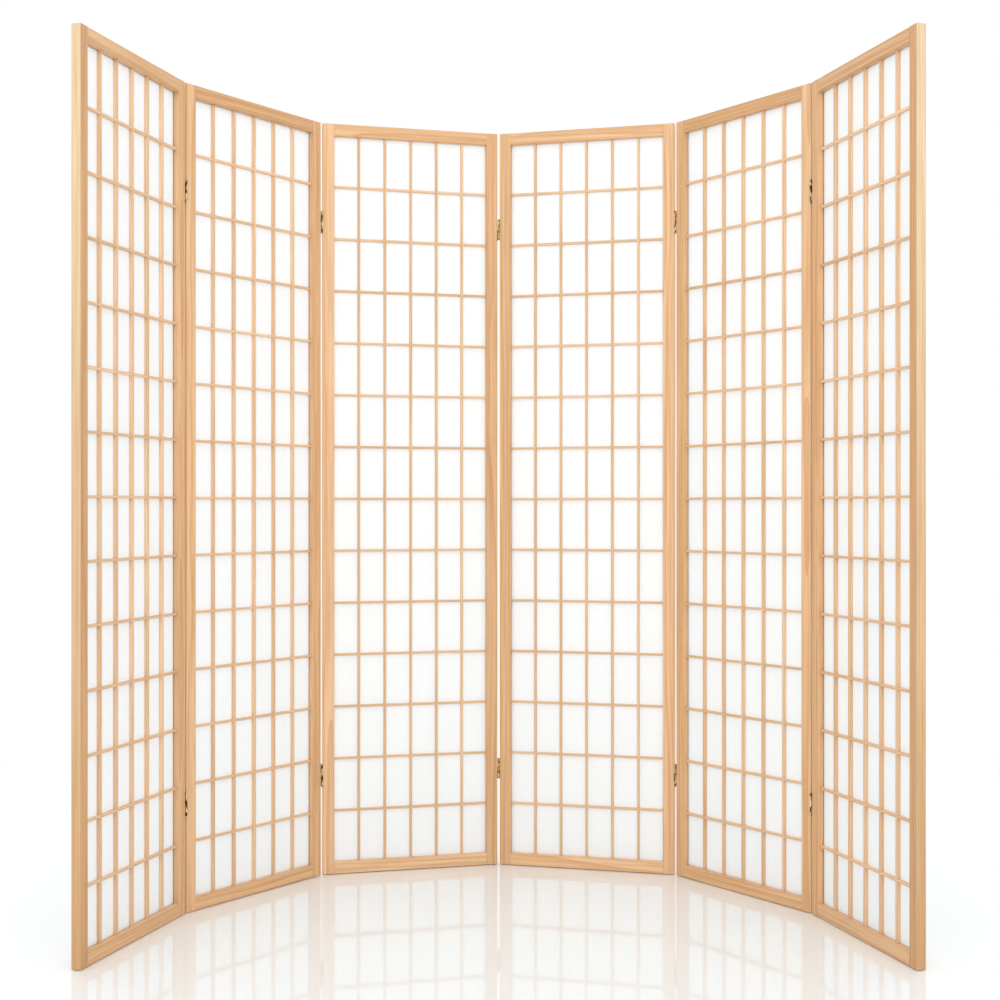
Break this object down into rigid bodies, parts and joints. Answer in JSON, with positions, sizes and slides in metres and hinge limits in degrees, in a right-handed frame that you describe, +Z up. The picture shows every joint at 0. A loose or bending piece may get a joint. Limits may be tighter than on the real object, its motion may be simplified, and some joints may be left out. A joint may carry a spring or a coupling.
{
  "type": "partition screen",
  "caption": "Folding partition screen: pine-framed panels of paper and square lattice, standing in a curve and joined by double-acting brass hinges.",
  "frame": {"origin": "on the floor under the centre of the standing screen's bounding box", "axes": "+Z up, -Y towards the viewer, into the open side of the curve, +X to the viewer's right"},
  "size_m": [1.6174, 0.9072, 1.79],
  "materials": {
    "frame": "clear-coated pine",
    "lattice": "clear-coated pine",
    "paper": "fibrous white screen paper, translucent",
    "hinge": "plated, satin"
  },
  "bodies": {
    "panel_1": {"panel_1_left_stile": "frame", "panel_1_right_stile": "frame", "panel_1_top_rail": "frame", "panel_1_bottom_rail": "frame", "panel_1_uprights": "lattice", "panel_1_crossbars": "lattice", "panel_1_paper": "paper", "hinge_1_back_leaves": "hinge"},
    "panel_2": {"panel_2_left_stile": "frame", "panel_2_right_stile": "frame", "panel_2_top_rail": "frame", "panel_2_bottom_rail": "frame", "panel_2_uprights": "lattice", "panel_2_crossbars": "lattice", "panel_2_paper": "paper", "hinge_1_front_leaves": "hinge", "hinge_2_front_leaves": "hinge"},
    "panel_3": {"panel_3_left_stile": "frame", "panel_3_right_stile": "frame", "panel_3_top_rail": "frame", "panel_3_bottom_rail": "frame", "panel_3_uprights": "lattice", "panel_3_crossbars": "lattice", "panel_3_paper": "paper", "hinge_2_back_leaves": "hinge", "hinge_3_back_leaves": "hinge"},
    "panel_4": {"panel_4_left_stile": "frame", "panel_4_right_stile": "frame", "panel_4_top_rail": "frame", "panel_4_bottom_rail": "frame", "panel_4_uprights": "lattice", "panel_4_crossbars": "lattice", "panel_4_paper": "paper", "hinge_3_front_leaves": "hinge", "hinge_4_back_leaves": "hinge"},
    "panel_5": {"panel_5_left_stile": "frame", "panel_5_right_stile": "frame", "panel_5_top_rail": "frame", "panel_5_bottom_rail": "frame", "panel_5_uprights": "lattice", "panel_5_crossbars": "lattice", "panel_5_paper": "paper", "hinge_4_front_leaves": "hinge", "hinge_5_front_leaves": "hinge"},
    "panel_6": {"panel_6_left_stile": "frame", "panel_6_right_stile": "frame", "panel_6_top_rail": "frame", "panel_6_bottom_rail": "frame", "panel_6_uprights": "lattice", "panel_6_crossbars": "lattice", "panel_6_paper": "paper", "hinge_5_back_leaves": "hinge"},
    "link_1": {"hinge_1_links": "hinge"},
    "link_2": {"hinge_2_links": "hinge"},
    "link_3": {"hinge_3_links": "hinge"},
    "link_4": {"hinge_4_links": "hinge"},
    "link_5": {"hinge_5_links": "hinge"}
  },
  "joints": [
    {"name": "hinge_2_back_fold", "type": "hinge", "parent": "panel_3", "child": "link_2", "pos_m": [-0.42603, 0.3386, 0.895], "axis": [0, 0, -1], "range_deg": [0, 180]},
    {"name": "hinge_2_front_fold", "type": "hinge", "parent": "link_2", "child": "panel_2", "pos_m": [-0.42018, 0.31677, 0.895], "axis": [0, 0, -1], "range_deg": [-110.5, 39.5]},
    {"name": "hinge_1_front_fold", "type": "hinge", "parent": "panel_2", "child": "link_1", "pos_m": [-0.67278, -0.03737, 0.895], "axis": [0, 0, 1], "range_deg": [-20, 160]},
    {"name": "hinge_1_back_fold", "type": "hinge", "parent": "link_1", "child": "panel_1", "pos_m": [-0.69456, -0.03133, 0.895], "axis": [0, 0, 1], "range_deg": [-180, 0]},
    {"name": "hinge_3_back_fold", "type": "hinge", "parent": "panel_3", "child": "link_3", "pos_m": [-0.00585, 0.45118, 0.895], "axis": [0, 0, -1], "range_deg": [-180, 0]},
    {"name": "hinge_3_front_fold", "type": "hinge", "parent": "link_3", "child": "panel_4", "pos_m": [0, 0.42935, 0.895], "axis": [0, 0, -1], "range_deg": [0, 83]},
    {"name": "hinge_4_back_fold", "type": "hinge", "parent": "panel_4", "child": "link_4", "pos_m": [0.42603, 0.3386, 0.895], "axis": [0, 0, 1], "range_deg": [0, 180]},
    {"name": "hinge_4_front_fold", "type": "hinge", "parent": "link_4", "child": "panel_5", "pos_m": [0.42018, 0.31677, 0.895], "axis": [0, 0, 1], "range_deg": [-110.5, 39.5]},
    {"name": "hinge_5_front_fold", "type": "hinge", "parent": "panel_5", "child": "link_5", "pos_m": [0.67278, -0.03737, 0.895], "axis": [0, 0, -1], "range_deg": [-20, 160]},
    {"name": "hinge_5_back_fold", "type": "hinge", "parent": "link_5", "child": "panel_6", "pos_m": [0.69456, -0.03133, 0.895], "axis": [0, 0, -1], "range_deg": [-180, 0]}
  ]
}
